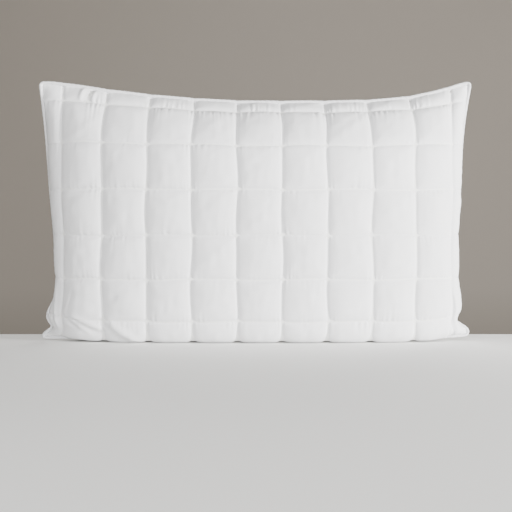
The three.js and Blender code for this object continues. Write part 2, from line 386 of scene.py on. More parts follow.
@dataclass(frozen=True)
class Cloth:
    """A panel's cloth, let go between its lines of sewing and blown out by what is behind it."""

    step: float = 0.003125
    frames: int = 26
    pressure: float = 1500.0
    stiffness: float = 40.0
    bending: float = 0.01
    mass: float = 0.001
    slack_across: float = 0.992
    slack_up: float = 1.0
    puff: float = 0.005  # how far the squares stand out before they are blown out
    puff_power: float = 2.3  # how square a puff is across
    side_loss: float = 0.4  # how much lower the puffs are outside the outer columns
    dent_power: int = 6  # how near a row its dent starts
    row_dent: float = 0.35  # how much of the puffs a row takes
    top_dent: float = 0.3  # how much more the top row takes
    top_start: float = 0.43
    top_reach: float = 0.035
    seam_fade: float = 0.03  # how far from the top seam the puffs reach their height
    foot_start: float = 0.02
    foot_fade: float = 0.07
    floor_fade: float = 0.012
    softness: float = 0.7  # how suddenly the puffs start at the top seam and at the floor
    lowest: float = 0.0003
    lying: float = 0.001  # the height under which the cloth lies on the floor

    def axes(self) -> tuple[Array, Array]:
        """Where the grid's columns and rows are on the flat cloth.

        Returns:
            The columns' places and the rows' places.
        """
        across = np.linspace(-PATTERN.width / 2, PATTERN.width / 2, round(PATTERN.width / self.step) + 1)
        up = np.linspace(0, PATTERN.height, round(PATTERN.height / self.step) + 1)
        return across, up

    def sewn(self, across: Array, up: Array) -> tuple[Array, Array]:
        """The cloth's first shape, with its puffs, and how firmly each point is held.

        Args:
            across: across the flat cloth from the middle.
            up: up the flat cloth from the bottom seam.

        Returns:
            The points, and from 0 to 1 how firmly each is held.
        """
        width, height = PATTERN.width, PATTERN.height
        place = PLUMP.place(across, up)
        u = PATTERN.between(across, PATTERN.columns, width / 2, -width / 2)
        v = PATTERN.between(up, PATTERN.rows, height, 0)
        outer = np.abs(across) > PATTERN.columns[-1]
        channel = (1 - np.abs(u) ** self.puff_power) * (1 - self.side_loss * outer)
        dent = self.row_dent + self.top_dent * ramp(up - self.top_start, self.top_reach)
        pillow = channel * (1 - dent * np.abs(v) ** self.dent_power)
        fade = ramp(height - up, self.seam_fade) ** self.softness * ramp(up - self.foot_start, self.foot_fade)
        flat_foot = ramp(place[..., 2], self.floor_fade) ** self.softness
        lift = self.puff * pillow * fade * flat_foot
        place = place + outwards(place) * lift[..., None]
        place[..., 1] = np.minimum(place[..., 1], 0)
        place[..., 2] = np.maximum(place[..., 2], self.lowest)
        close = self.step / 4
        held = (PATTERN.from_column(across) < close) | (PATTERN.from_row(up) < close)
        held |= (np.abs(across) > width / 2 - close) | (up < close) | (up > height - close)
        held |= place[..., 2] < self.lying
        return place, held.astype(float)

    def settle(self, start: Array, held: Array) -> Array:
        """Runs the cloth from a first shape until it has found its own.

        Args:
            start: (up, across, 3), the first shape, whose held points stay where they are.
            held: (up, across), from 0, free, to 1, held.

        Returns:
            The settled shape.
        """
        across, up = self.axes()
        piece = grid_mesh("cloth", start)
        piece.shape_key_add(name="Basis")
        key = piece.shape_key_add(name="flat")
        x, z = np.meshgrid(across * self.slack_across, up * self.slack_up)
        flat = np.stack([x, np.zeros_like(x), z], axis=-1)
        key.data.foreach_set("co", flat.astype(np.float32).ravel())
        group = piece.vertex_groups.new(name="held")
        weights = held.ravel()
        for weight in np.unique(weights[weights > 0]):
            group.add(np.nonzero(weights == weight)[0].tolist(), float(weight), "REPLACE")
        cloth = piece.modifiers.new("cloth", "CLOTH")
        wanted = {"quality": 3, "mass": self.mass, "vertex_group_mass": "held", "use_pressure": True,
                  "uniform_pressure_force": self.pressure, "rest_shape_key": key,
                  "bending_stiffness": self.bending, "shear_stiffness": self.stiffness / 8,
                  "tension_stiffness": self.stiffness, "compression_stiffness": self.stiffness}
        wanted |= {f"{kind}_damping": 1 for kind in ("tension", "compression", "shear")}
        for name, value in wanted.items():
            setattr(cloth.settings, name, value)
        cloth.settings.effector_weights.gravity = 0
        cloth.collision_settings.use_collision = False
        cloth.point_cache.frame_start = 1
        cloth.point_cache.frame_end = self.frames
        for number in range(1, self.frames + 1):
            bpy.context.scene.frame_set(number)
        shaped = piece.evaluated_get(bpy.context.evaluated_depsgraph_get())
        out = np.empty(start.size, np.float32)
        shaped.data.vertices.foreach_get("co", out)
        bpy.data.objects.remove(piece, do_unlink=True)
        bpy.context.scene.frame_set(1)
        return out.reshape(start.shape).astype(float)

    def panel(self) -> Array:
        """The settled shape of the front panel, (up, across, 3), which the back panel mirrors.

        Returns:
            The points.
        """
        across, up = self.axes()
        start, held = self.sewn(*np.meshgrid(across, up))
        shape = self.settle(start, held)
        moved = np.linalg.norm(shape - start, axis=-1)
        log.info("settled: moved %.1f mm at most, %.1f mm on average", 1e3 * moved.max(), 1e3 * moved.mean())
        return shape


def slab(name: str, outer: Array, inner: Array, flat: Array | None = None) -> Piece:
    """A closed piece between two grids of points, joined round their edges.

    Args:
        name: the piece's name.
        outer: (up, across, 3), the face that looks out.
        inner: (up, across, 3), the face that looks in.
        flat: (up, across, 2), where each point is on the flat cloth, for the UV map of both faces.

    Returns:
        The piece.
    """
    rows, columns = outer.shape[:2]
    work = bmesh.new()
    for _ in (outer, inner):
        bmesh.ops.create_grid(work, x_segments=columns - 1, y_segments=rows - 1, size=0.5)
    work.faces.ensure_lookup_table()
    bmesh.ops.reverse_faces(work, faces=work.faces[len(work.faces) // 2:])
    bmesh.ops.bridge_loops(work, edges=[edge for edge in work.edges if edge.is_boundary])
    both = None if flat is None else np.stack([flat, flat])
    return piece_from(name, work, np.stack([outer, inner]), both)


def tube(name: str, path: Array, radius: Callable[[Array, Array], Array], sides: int,
         closed: bool = True) -> Piece:
    """A tube along a path that lies near the seam plane.

    Args:
        name: the piece's name.
        path: points along its middle; the first is repeated at the end where it is closed.
        radius: gives the radius from how far along the path a point is and its angle round the path,
            which is 0 on the outer side of the seam and grows towards the back.
        sides: how many points it has round it.
        closed: whether its end meets its start.

    Returns:
        The piece.
    """
    steps = np.linalg.norm(np.diff(path, axis=0), axis=1)
    along = np.concatenate([[0], np.cumsum(steps)])
    if closed:
        tangent = np.roll(path[:-1], -1, axis=0) - np.roll(path[:-1], 1, axis=0)
        tangent = np.concatenate([tangent, tangent[:1]])
    else:
        tangent = np.gradient(path, axis=0)
    tangent /= np.linalg.norm(tangent, axis=1, keepdims=True)
    back = np.array([0.0, 1.0, 0.0])
    out = np.cross(back, tangent)
    out /= np.linalg.norm(out, axis=1, keepdims=True)
    angle = np.linspace(0, 2 * math.pi, sides + 1)
    run, turn = np.meshgrid(along, angle)
    reach = radius(run, turn)[..., None]
    turn = turn[..., None]
    points = path[None] + reach * (np.cos(turn) * out[None] + np.sin(turn) * back)
    flat = np.stack([run, turn[..., 0] * reach.mean()], axis=-1)
    piece = grid_mesh(name, points, flat)
    work = bmesh.new()
    work.from_mesh(piece.data)
    bmesh.ops.remove_doubles(work, verts=work.verts, dist=1e-6)
    if not closed:
        bmesh.ops.holes_fill(work, edges=[edge for edge in work.edges if edge.is_boundary], sides=0)
    bmesh.ops.recalc_face_normals(work, faces=work.faces)
    work.to_mesh(piece.data)
    work.free()
    piece.data.shade_smooth()
    return piece


# ---------------------------------------------------------------------------------------------- finishes


class Value:
    """A number in a material's nodes, on which Python's own operators add Math nodes."""

    def __init__(self, finish: "Nodes", socket: bpy.types.NodeSocket) -> None:
        """Wraps a socket that gives a number."""
        self.finish = finish
        self.socket = socket

    def _with(self, operation: str, first: object, second: object) -> "Value":
        """The result of one Math node."""
        return self.finish.add("ShaderNodeMath", {"operation": operation}, {0: first, 1: second})

    def __add__(self, other: object) -> "Value":
        """Sum."""
        return self._with("ADD", self, other)

    def __mul__(self, other: object) -> "Value":
        """Product."""
        return self._with("MULTIPLY", self, other)

    __radd__ = __add__
    __rmul__ = __mul__

    def sine(self) -> "Value":
        """The sine of the number."""
        return self._with("SINE", self, 0)


class Nodes:
    """One material being built."""

    def __init__(self, name: str) -> None:
        """Starts a material with only its shader and its output.

        Args:
            name: the material's name.
        """
        self.material = bpy.data.materials.new(name)
        self.material.use_nodes = True
        self.tree = self.material.node_tree
        self.shader = self.tree.nodes["Principled BSDF"]

    def add(self, kind: str, settings: dict[str, object], inputs: dict[object, object],
            output: object = 0) -> Value:
        """Adds a node.

        Args:
            kind: the node's type.
            settings: its properties.
            inputs: a value or a link for each of its sockets.
            output: which of its outputs to give back.

        Returns:
            The output, ready for Python's operators.
        """
        node = self.tree.nodes.new(kind)
        for name, value in settings.items():
            setattr(node, name, value)
        for place, value in inputs.items():
            if isinstance(value, Value):
                self.tree.links.new(value.socket, node.inputs[place])
            else:
                node.inputs[place].default_value = value
        return Value(self, node.outputs[output])

    def cloth(self) -> tuple[Value, Value, Value]:
        """Where a point is on the flat cloth: as a vector, across and up, in metres.

        Returns:
            The vector, across, and up.
        """
        place = self.add("ShaderNodeUVMap", {"uv_map": "cloth"}, {})
        across = self.add("ShaderNodeSeparateXYZ", {}, {0: place}, 0)
        node = across.socket.node
        return place, across, Value(self, node.outputs[1])

    def noise(self, place: Value, scale: Triple, detail: float) -> Value:
        """Smooth noise about 0.5, with its own scale along each direction of the place given.

        Args:
            place: where the noise is read.
            scale: how fine it is along each direction.
            detail: how many finer layers it has.

        Returns:
            The noise.
        """
        stretched = self.add("ShaderNodeMapping", {}, {"Vector": place, "Scale": scale})
        return self.add(
            "ShaderNodeTexNoise", {}, {"Vector": stretched, "Scale": 1.0, "Detail": detail}, "Fac"
        )

    def mix(self, factor: Value, first: tuple[float, ...], second: tuple[float, ...]) -> Value:
        """A colour between two.

        Args:
            factor: 0 for the first colour and 1 for the second.
            first: a colour.
            second: a colour.

        Returns:
            The colour.
        """
        return self.add(
            "ShaderNodeMix",
            {"data_type": "RGBA"},
            {0: factor, 6: (*first, 1.0), 7: (*second, 1.0)},
            2,
        )

    def bump(self, height: Value, distance: float, strength: float) -> None:
        """Makes a height the surface's relief.

        Args:
            height: about 0 to 1.
            distance: how far 1 stands above 0, in metres.
            strength: how much of it shows.
        """
        relief = {"Height": height, "Distance": distance, "Strength": strength}
        self.set(Normal=self.add("ShaderNodeBump", {}, relief))

    def set(self, **values: object) -> None:
        """Sets or links the shader's own sockets, by their names with _ for a space."""
        for name, value in values.items():
            socket = self.shader.inputs[name.replace("_", " ")]
            if isinstance(value, Value):
                self.tree.links.new(value.socket, socket)
            else:
                socket.default_value = value


@dataclass(frozen=True)
class Cotton:
    """Fine plain-woven cotton with a soft sheen."""

    name: str
    light: Triple
    shade: Triple
    thread_pitch: float = 0.00032
    roughness: float = 0.6
    sheen: float = 0.12
    turn: float = 0.0

    def make(self) -> bpy.types.Material:
        """Builds the material.

        Returns:
            The material.
        """
        nodes = Nodes(self.name)
        place, across, up = nodes.cloth()
        if self.turn:
            turned = nodes.add("ShaderNodeMapping", {}, {"Vector": place, "Rotation": (0, 0, self.turn)})
            across = nodes.add("ShaderNodeSeparateXYZ", {}, {0: turned}, 0)
            up = Value(nodes, across.socket.node.outputs[1])
        warp = (across * (2 * math.pi / self.thread_pitch)).sine()
        weft = (up * (2 * math.pi / self.thread_pitch)).sine()
        weave = warp * weft * 0.5 + 0.5
        slub = nodes.noise(place, (2600.0, 90.0, 1.0), 2.0)
        rub = nodes.noise(place, (70.0, 70.0, 1.0), 4.0)
        cloud = nodes.noise(place, (9.0, 9.0, 1.0), 2.0)
        nodes.set(
            Base_Color=nodes.mix(cloud * 0.6 + slub * 0.4, self.shade, self.light),
            Roughness=rub * 0.12 + slub * 0.08 + (self.roughness - 0.1),
            Sheen_Weight=self.sheen,
            Sheen_Roughness=0.45,
            Specular_IOR_Level=0.35,
        )
        nodes.bump(weave * 0.35 + slub * 0.35 + rub * 1.1, 0.00035, 0.6)
        return nodes.material


@dataclass(frozen=True)
class Fibres:
    """Loose or felted fibre, such as wadding, lining and filling."""

    name: str
    light: Triple
    shade: Triple
    clump: float
    relief: float

    def make(self) -> bpy.types.Material:
        """Builds the material.

        Returns:
            The material.
        """
        nodes = Nodes(self.name)
        place = nodes.add("ShaderNodeTexCoord", {}, {}, "Object")
        tuft = nodes.noise(place, (1 / self.clump,) * 3, 5.0)
        strand = nodes.noise(place, (9 / self.clump, 2 / self.clump, 14 / self.clump), 3.0)
        nodes.set(
            Base_Color=nodes.mix(tuft * 0.6 + strand * 0.4, self.shade, self.light),
            Roughness=strand * 0.15 + 0.8,
            Sheen_Weight=0.2,
        )
        nodes.bump(tuft + strand * 0.5, self.relief, 0.8)
        return nodes.material


@dataclass(frozen=True)
class Thread:
    """Twisted thread or cord."""

    name: str
    light: Triple
    shade: Triple
    ply: float
    roughness: float = 0.5

    def make(self) -> bpy.types.Material:
        """Builds the material.

        Returns:
            The material.
        """
        nodes = Nodes(self.name)
        place = nodes.add("ShaderNodeTexCoord", {}, {}, "Object")
        split = nodes.add("ShaderNodeSeparateXYZ", {}, {0: place}, 0)
        y, z = (Value(nodes, split.socket.node.outputs[n]) for n in (1, 2))
        twist = ((split + y + z) * (2 * math.pi / self.ply)).sine() * 0.5 + 0.5
        fuzz = nodes.noise(place, (2400.0, 2400.0, 2400.0), 2.0)
        nodes.set(
            Base_Color=nodes.mix(twist * 0.6 + fuzz * 0.4, self.shade, self.light),
            Roughness=fuzz * 0.2 + (self.roughness - 0.1),
            Sheen_Weight=0.1,
        )
        nodes.bump(twist + fuzz * 0.3, self.ply * 0.25, 0.6)
        return nodes.material


COVER_COTTON = Cotton("cover_cotton", (0.80, 0.80, 0.81), (0.775, 0.776, 0.79))
PIPING_COTTON = Cotton("piping_cotton", (0.80, 0.80, 0.81), (0.77, 0.77, 0.78), turn=math.pi / 4)
LABEL_TAPE = Cotton("label_tape", (0.84, 0.84, 0.84), (0.80, 0.80, 0.80), roughness=0.4, sheen=0.05)
WADDING = Fibres("wadding", (0.86, 0.86, 0.85), (0.78, 0.78, 0.77), 0.02, 0.0012)
LINING = Fibres("lining", (0.78, 0.78, 0.77), (0.71, 0.71, 0.70), 0.006, 0.0002)
FILLING = Fibres("hollow_fibre", (0.9, 0.9, 0.89), (0.8, 0.8, 0.79), 0.03, 0.003)
STITCHES = Thread("stitching_thread", (0.84, 0.84, 0.84), (0.74, 0.74, 0.75), 0.0005)
TWISTED_CORD = Thread("twisted_cord", (0.78, 0.76, 0.71), (0.66, 0.64, 0.59), 0.0022, 0.8)


# ---------------------------------------------------------------------------------------------- the panels


@dataclass(frozen=True)
class Gathers:
    """The small gathers that a line of sewing leaves across it."""

    pitch: float
    height: float
    phase: tuple[Pair, ...]  # how far the waves wander, and over what length
    strength: Triple = (1.0, 0.0, 1.0)  # its mean, its spread, and over what length
    reach: Triple = (0.006, 0.0, 1.0)  # the same, for how far from the line they run
    start: float = 0.001

    def lift(self, along: Array, off: Array, seed: int) -> Array:
        """How far the cloth is lifted beside a line of sewing.

        Args:
            along: how far along the line each place is.
            off: how far aside of it; nothing is lifted where it is below 0.
            seed: which gathers.

        Returns:
            The lift at each place, in metres.
        """
        phase = sum(size * wander(along, seed + n, length) for n, (size, length) in enumerate(self.phase))
        seed += len(self.phase)
        strength, reach = (
            mean + spread * wander(along, seed + n, length)
            for n, (mean, spread, length) in enumerate((self.strength, self.reach))
        )
        wave = ripple(along, self.pitch, phase) * np.clip(strength, 0, None)
        return self.height * wave * near(np.maximum(off, 0), reach) * ramp(off, self.start)


ROW_WANDER = ((3.4, 0.009), (2.0, 0.034))
ROW_GATHERS = Gathers(0.0078, 0.00065, ROW_WANDER, (0.3, 1.15, 0.021), (0.0075, 0.0045, 0.009))
TOP_GATHERS = Gathers(0.0078, 0.00065, ROW_WANDER, (0.72, 2.76, 0.021), (0.012, 0.0072, 0.009))
COLUMN_GATHERS = Gathers(0.0095, 0.00026, ((2.6, 0.012),), (0.5, 0.5, 0.03), (0.004, 0.0, 1.0))
SEAM_GATHERS = Gathers(0.0085, 0.00045, ((3.0, 0.013),), start=0.002)


@dataclass
class Panel:
    """One quilted panel: its cover, its wadding, its lining and the quilting through them."""

    side: Side
    coarse: Array  # the settled cloth, (up, across, 3)
    seed: int
    folds: tuple[Fold, ...] = ()
    across: Array = field(init=False)
    up: Array = field(init=False)
    fine: Array = field(init=False)  # the cover's surface, (up, across, 3)
    column_steps: int = 40
    row_steps: int = 26
    # Grooves: how deep each is at its line, and how far it reaches.
    column_groove: Pair = (0.0017, 0.0030)
    row_grooves: tuple[Pair, ...] = ((0.0012, 0.0022), (0.0012, 0.007))
    side_loss: float = 0.6  # how much shallower the rows are outside the outer columns
    side_reach: float = 0.01
    drift_size: float = 0.005
    drift_pitches: tuple[float, ...] = (0.055, 0.048, 0.036, 0.03, 0.024, 0.02)
    drift_bend: float = 0.3
    drift_bend_pitch: float = 2.3
    drift_reach: float = 0.01
    edge_fade: float = 0.002
    floor_fade: float = 0.006
    notch: float = 0.007  # how far the cloth is off the floor where a column meets it
    notch_width: float = 0.0045
    notch_height: float = 0.014
    notch_depth: float = 0.02
    lowest: float = 0.0002
    # The inner layers.
    inset: float = 0.005
    layer_grid: tuple[int, int] = (121, 81)
    layer_gap: float = 0.0005
    cover_depth: float = 0.0024
    lining_thickness: float = 0.0004
    wadding_thickness: Pair = (0.0008, 0.0048)  # at the columns, and how much more between
    wadding_power: float = 2.8
    wadding_fade: float = 0.02
    layer_fade: float = 0.008
    least_share: float = 0.15  # how much of their depth the layers have at the seams
    # The stitches.
    stitch_pitch: float = 0.003
    stitch_length: float = 0.0024
    stitch_size: Pair = (0.00026, 0.00032)  # half its depth and half its width
    stitch_rise: float = 0.00016
    stitch_facets: tuple[int, int] = (5, 4)

    def __post_init__(self) -> None:
        """Works out the fine shape that every layer follows."""
        width, height = PATTERN.width, PATTERN.height
        self.across = self.places([-width / 2, *PATTERN.columns, width / 2], self.column_steps, 0.35)
        self.up = self.places([0, *PATTERN.rows, height], self.row_steps, 0.6)
        self.fine = self.finished()

    def places(self, lines: Sequence[float], steps: int, gather: float) -> Array:
        """Places across the cloth that come closer together towards each line of sewing.

        Args:
            lines: the seams and the lines of quilting.
            steps: how many steps a full square has.
            gather: from 0, even, to 1, all at the lines.

        Returns:
            The places, from the first line to the last.
        """
        out = [np.array([lines[0]])]
        for start, end in zip(lines, lines[1:]):
            count = max(6, round(steps * (end - start) / PATTERN.square))
            u = np.arange(1, count + 1) / count
            u = u - gather * np.sin(2 * math.pi * u) / (2 * math.pi)
            out.append(start + u * (end - start))
        return np.concatenate(out)

    def settled(self, across: Array, up: Array) -> Array:
        """The settled cloth, read smoothly at other places.

        Args:
            across: the columns' places on the flat cloth.
            up: the rows' places.

        Returns:
            The points, (up, across, 3).
        """
        rows, columns = self.coarse.shape[:2]
        over = cubic_weights(across + PATTERN.width / 2, columns, PATTERN.width)
        above = cubic_weights(up, rows, PATTERN.height)
        return np.einsum("ij,jkc,lk->ilc", above, self.coarse, over, optimize=True)

    def gathers(self, across: Array, up: Array) -> Array:
        """How far the sewing's gathers lift the cloth.

        Args:
            across: across the flat cloth from the middle.
            up: up the flat cloth from the bottom seam.

        Returns:
            The lift at each place, in metres.
        """
        total = np.zeros(across.shape)
        for number, row in enumerate(PATTERN.rows):
            kind = TOP_GATHERS if row == PATTERN.rows[-1] else ROW_GATHERS
            for sign in (-1, 1):
                total += kind.lift(across, sign * (up - row), self.seed + 20 * number + 7 * sign)
        for number, column in enumerate(PATTERN.columns):
            total += COLUMN_GATHERS.lift(up, np.abs(across - column), self.seed + 500 + 20 * number)
        total += SEAM_GATHERS.lift(up, PATTERN.width / 2 - np.abs(across), self.seed + 901)
        return total + SEAM_GATHERS.lift(across, np.minimum(up, PATTERN.height - up), self.seed + 902)

    def drift(self, across: Array, up: Array) -> Array:
        """Slow unevenness of the puffs, which the fibre behind them makes.

        Args:
            across: across the flat cloth from the middle.
            up: up the flat cloth from the bottom seam.

        Returns:
            The lift at each place, in metres.
        """
        total = np.zeros(across.shape)
        random = np.random.default_rng(self.seed + 77)
        for pitch in self.drift_pitches:
            turn, phase = random.uniform(0, math.pi), random.uniform(0, 2 * math.pi)
            run = across * math.cos(turn) + up * math.sin(turn)
            bent = run + self.drift_bend * pitch * ripple(across - up, self.drift_bend_pitch * pitch)
            total += pitch * ripple(bent, pitch, phase)
        return self.drift_size * total

    def finished(self) -> Array:
        """The cover's surface, with its grooves, gathers and folds.

        Returns:
            The points, (up, across, 3).
        """
        points = self.settled(self.across, self.up)
        x, z = np.meshgrid(self.across, self.up)
        column, row = PATTERN.from_column(x), PATTERN.from_row(z)
        edge = np.minimum(PATTERN.width / 2 - np.abs(x), np.minimum(z, PATTERN.height - z))
        depth, reach = self.column_groove
        lift = -depth * near(column, reach)
        outer = ramp(np.abs(x) - PATTERN.columns[-1], self.side_reach)
        for depth, reach in self.row_grooves:
            lift -= depth * near(row, reach) * (1 - self.side_loss * outer)
        lift += self.gathers(x, z)
        lift += self.drift(x, z) * (1 - near(np.minimum(column, row), self.drift_reach))
        lift += sum(fold.height(x, z) for fold in self.folds)
        lift *= ramp(edge, self.edge_fade) * ramp(points[..., 2], self.floor_fade)
        points = points + outwards(points) * lift[..., None]
        notch = near(column, self.notch_width) * near(points[..., 2], self.notch_height)
        points[..., 2] += self.notch * notch * ramp(-points[..., 1], self.notch_depth)
        points[..., 1] = np.minimum(points[..., 1], 0)
        points[..., 2] = np.maximum(points[..., 2], self.lowest)
        return points

    def facing(self, points: Array) -> Array:
        """The points, turned to the back for the back panel."""
        return points * np.array([1, -self.side.value, 1])

    def build_cover(self) -> Piece:
        """Makes the woven cover.

        Returns:
            The cover.
        """
        flat = np.stack(np.meshgrid(self.across, self.up), axis=-1)
        cover = grid_mesh(f"{self.side.word}_woven_cover", self.facing(self.fine), flat)
        if self.side is Side.BACK:
            flip(cover)
        dress(cover, COVER_COTTON, "cover_cotton", f"{self.side.word}_cover")
        return cover

    def inner_faces(self) -> tuple[Array, list[Array]]:
        """The flat places of the inner layers' grid, and its surfaces, from the cover's inside inwards.

        Returns:
            The places on the flat cloth, and the wadding's two faces, the lining's two and the filling's.
        """
        width, height = PATTERN.width, PATTERN.height
        columns, rows = self.layer_grid
        across = np.linspace(self.inset - width / 2, width / 2 - self.inset, columns)
        up = np.linspace(self.inset, height - self.inset, rows)
        points = self.settled(across, up)
        normal = outwards(points)
        x, z = np.meshgrid(across, up)
        u = PATTERN.between(x, PATTERN.columns, width / 2, -width / 2)
        least, more = self.wadding_thickness
        swell = (1 - np.abs(u) ** self.wadding_power) * ramp(-points[..., 1], self.wadding_fade)
        depths = [np.full(x.shape, self.cover_depth)]
        for thickness in (least + more * swell, self.layer_gap, self.lining_thickness, self.layer_gap):
            depths.append(depths[-1] + thickness)
        faces = []
        for number, depth in enumerate(depths):
            depth = depth * np.clip(-points[..., 1] / self.layer_fade, self.least_share, 1)
            face = points - normal * depth[..., None]
            face[..., 1] = np.minimum(face[..., 1], -0.0003 * (len(depths) - number))
            face[..., 2] = np.maximum(face[..., 2], 0.0006 * (number + 1))
            faces.append(face)
        return np.stack([x, z], axis=-1), faces

    def build_layers(self) -> tuple[Piece, Piece]:
        """Makes the wadding and the lining.

        Returns:
            The wadding and the lining.
        """
        flat, faces = self.inner_faces()
        outer, inner, lining_outer, lining_inner, _ = (self.facing(face) for face in faces)
        wadding = slab(f"{self.side.word}_wadding_sheet", outer, inner, flat)
        lining = slab(f"{self.side.word}_lining_sheet", lining_outer, lining_inner, flat)
        for piece in (wadding, lining):
            if self.side is Side.BACK:
                flip(piece)
        dress(wadding, WADDING, "wadding", f"{self.side.word}_wadding")
        dress(lining, LINING, "lining", f"{self.side.word}_lining")
        return wadding, lining

    def stitches(self, line: Array, normal: Array) -> Array:
        """Where the stitches lie, end to end along a line of sewing.

        Args:
            line: points on the cover along the sewing.
            normal: the cover's normal at each.

        Returns:
            For each stitch, its middle and the ways along it, across it and out, (stitches, 4, 3).
        """
        gaps = np.linalg.norm(np.diff(line, axis=0), axis=1)
        along = np.concatenate([[0], np.cumsum(gaps)])
        count = int(along[-1] // self.stitch_pitch)
        places = (np.arange(count) + 0.5) * along[-1] / count
        half = 0.4 * self.stitch_length

        def at(values: Array, where: Array) -> Array:
            """The values at places along the line."""
            return np.stack([np.interp(where, along, values[:, axis]) for axis in range(3)], axis=-1)

        start, end, out = at(line, places - half), at(line, places + half), at(normal, places)
        run = end - start
        run /= np.linalg.norm(run, axis=1, keepdims=True)
        aside = np.cross(out, run)
        aside /= np.linalg.norm(aside, axis=1, keepdims=True)
        out = np.cross(run, aside)
        middle = (start + end) / 2 + self.stitch_rise * out
        return np.stack([middle, run, aside, out], axis=1)

    def stitched(self, name: str, places: Array) -> Piece:
        """Makes one small rounded run of thread at each stitch's place.

        Args:
            name: the piece's name.
            places: the stitches' places, as the method stitches gives them.

        Returns:
            The piece, without its material.
        """
        mesh = bpy.data.meshes.new("stitch")
        single = bmesh.new()
        around, along = self.stitch_facets
        bmesh.ops.create_uvsphere(single, u_segments=around, v_segments=along, radius=1)
        single.to_mesh(mesh)
        single.free()
        unit = np.array([vert.co for vert in mesh.vertices])
        work = bmesh.new()
        work.from_mesh(mesh)
        while len(work.verts) < len(unit) * len(places):
            work.to_mesh(mesh)
            work.from_mesh(mesh)
        work.verts.ensure_lookup_table()
        bmesh.ops.delete(work, geom=work.verts[len(unit) * len(places):], context="VERTS")
        bpy.data.meshes.remove(mesh)
        size = np.array([*self.stitch_size, self.stitch_length / 2])
        middle, run, aside, out = (places[:, None, n] for n in range(4))
        x, y, z = ((unit * size)[None, :, n:n + 1] for n in range(3))
        points = middle + z * run + y * aside - x * out
        points[..., 2] = np.maximum(points[..., 2], self.lowest / 2)
        return piece_from(name, work, points)

    def build_stitching(self) -> None:
        """Makes the rows and the columns of quilting."""
        surface, normal = self.facing(self.fine), self.facing(outwards(self.fine))
        rows = [(surface[n], normal[n]) for n in np.searchsorted(self.up, PATTERN.rows - 1e-6)]
        columns = [(surface[:, n], normal[:, n])
                   for n in np.searchsorted(self.across, PATTERN.columns - 1e-6)]
        for name, lines, digits in (("row", rows, 1), ("column", columns, 2)):
            places = np.concatenate([self.stitches(line, out) for line, out in lines])
            piece = self.stitched(f"{self.side.word}_quilting_{name}s", places)
            nodes = [f"{self.side.word}_stitch_{name}_{n + 1:0{digits}d}" for n in range(len(lines))]
            dress(piece, STITCHES, "thread", *nodes)


def dress(piece: Piece, finish: object, slot: str, *nodes: str) -> None:
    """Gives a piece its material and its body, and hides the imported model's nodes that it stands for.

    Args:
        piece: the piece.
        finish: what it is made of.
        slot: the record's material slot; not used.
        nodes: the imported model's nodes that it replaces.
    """
    made = bpy.data.materials.get(finish.name) or finish.make()
    piece.data.materials.clear()
    piece.data.materials.append(made)
    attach(piece, BODY)
    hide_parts(*nodes)
    log.info("%s: %d faces", piece.name, len(piece.data.polygons))


# ---------------------------------------------------------------------------------------------- the pillow


